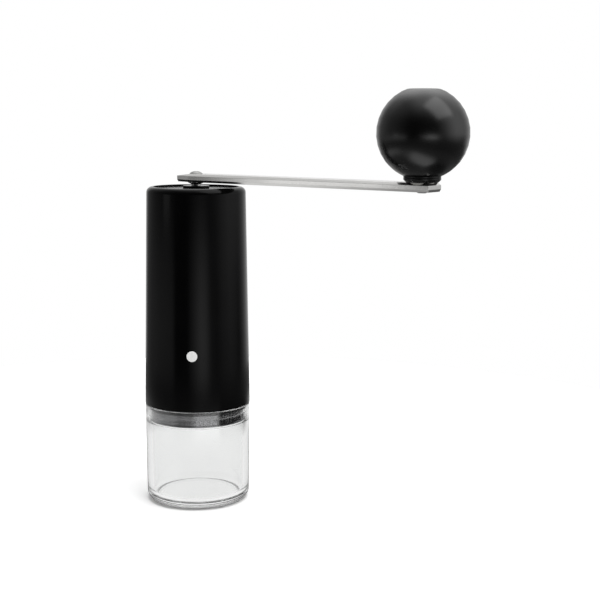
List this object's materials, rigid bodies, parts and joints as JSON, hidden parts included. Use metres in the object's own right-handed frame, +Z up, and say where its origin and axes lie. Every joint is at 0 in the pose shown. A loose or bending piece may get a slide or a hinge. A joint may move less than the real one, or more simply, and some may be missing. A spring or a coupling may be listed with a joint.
{
  "type": "manual coffee grinder",
  "caption": "Slim hand coffee grinder: tapered metal body with a conical burr set, a screw-on clear jar below and a flat crank with a ball knob above.",
  "frame": {"origin": "centre of the jar's flat base, on the surface that the grinder stands on", "axes": "+Z up along the grinding axis, -Y towards the index dot on the body; the crank rests 34.8 degrees from +X towards -Y"},
  "size_m": [0.1514, 0.1194, 0.2031],
  "materials": {
    "clear_glass": "clear polished glass",
    "black_rubber": "matt black rubber",
    "satin_black": "satin black anodised",
    "white_enamel": "white enamel",
    "gloss_black": "glossy black anodised",
    "plain_steel": "turned steel",
    "burr_steel": "hardened ground steel",
    "bridge_aluminium": "cast and machined",
    "bearing_steel": "ground bearing steel",
    "black_plastic": "moulded black",
    "polished_steel": "polished stainless",
    "bright_steel": "bright machined",
    "knob_black": "smooth satin black",
    "brass": "turned brass",
    "spring_steel": "drawn spring wire",
    "dial_black": "black anodised"
  },
  "bodies": {
    "jar": {"jar": "clear_glass"},
    "seal": {"jar_seal": "black_rubber"},
    "housing": {"shell": "satin_black", "index_dot": "white_enamel", "jar_collar": "gloss_black", "burr_retainer": "plain_steel", "ring_burr": "burr_steel", "lower_bridge": "bridge_aluminium", "lower_bearing_outer": "bearing_steel", "chamber_liner": "plain_steel", "upper_bridge": "bridge_aluminium", "upper_bearing_outer": "bearing_steel"},
    "lid": {"lid": "satin_black", "lid_bush": "black_plastic", "lid_seal": "black_rubber"},
    "crank": {"crank_bar": "polished_steel", "drive_stub": "plain_steel", "stub_clip": "plain_steel", "crank_screw": "bright_steel", "knob_axle": "bright_steel", "thrust_washer": "plain_steel", "axle_screw": "bright_steel"},
    "knob": {"knob_ball": "knob_black", "knob_ferrule": "gloss_black", "knob_bush": "brass", "knob_cap": "knob_black"},
    "shaft": {"drive_shaft": "plain_steel", "lower_bearing_inner": "bearing_steel", "upper_bearing_inner": "bearing_steel", "shaft_circlip": "plain_steel", "spring_washer": "plain_steel", "burr_spring": "spring_steel"},
    "burr": {"inner_burr": "burr_steel", "click_washer": "plain_steel"},
    "dial": {"adjust_dial": "dial_black", "click_pin": "bright_steel"}
  },
  "joints": [
    {"name": "jar_lift", "type": "slide", "parent": "jar", "child": "seal", "axis": [0, 0, 1], "range_m": [0, 0.00803]},
    {"name": "jar_turn", "type": "hinge", "parent": "seal", "child": "housing", "pos_m": [0, 0, 0.0486], "axis": [0, 0, 1], "range_deg": [0, 720]},
    {"name": "lid_lift", "type": "slide", "parent": "housing", "child": "lid", "axis": [0, 0, 1], "range_m": [0, 0.04]},
    {"name": "crank_spin", "type": "hinge", "parent": "lid", "child": "crank", "pos_m": [0, 0, 0.1575], "axis": [0, 0, 1], "continuous": true},
    {"name": "knob_spin", "type": "hinge", "parent": "crank", "child": "knob", "pos_m": [0.10511, -0.07305, 0.184], "axis": [0, 0, 1], "continuous": true},
    {"name": "shaft_spin", "type": "hinge", "parent": "housing", "child": "shaft", "pos_m": [0, 0, 0.1], "axis": [0, 0, 1], "continuous": true},
    {"name": "burr_gap", "type": "slide", "parent": "shaft", "child": "burr", "axis": [0, 0, -1], "range_m": [0, 0.00125], "deforming": ["burr_spring"]},
    {"name": "dial_turn", "type": "hinge", "parent": "burr", "child": "dial", "pos_m": [0, 0, 0.0425], "axis": [0, 0, -1], "range_deg": [0, 450.5]}
  ],
  "couplings": [
    {"joint": "jar_lift", "follows": "jar_turn", "m_per_rad": 0.00063662},
    {"joint": "shaft_spin", "follows": "crank_spin", "ratio": 1},
    {"joint": "dial_turn", "follows": "burr_gap", "rad_per_m": 6283.2}
  ]
}
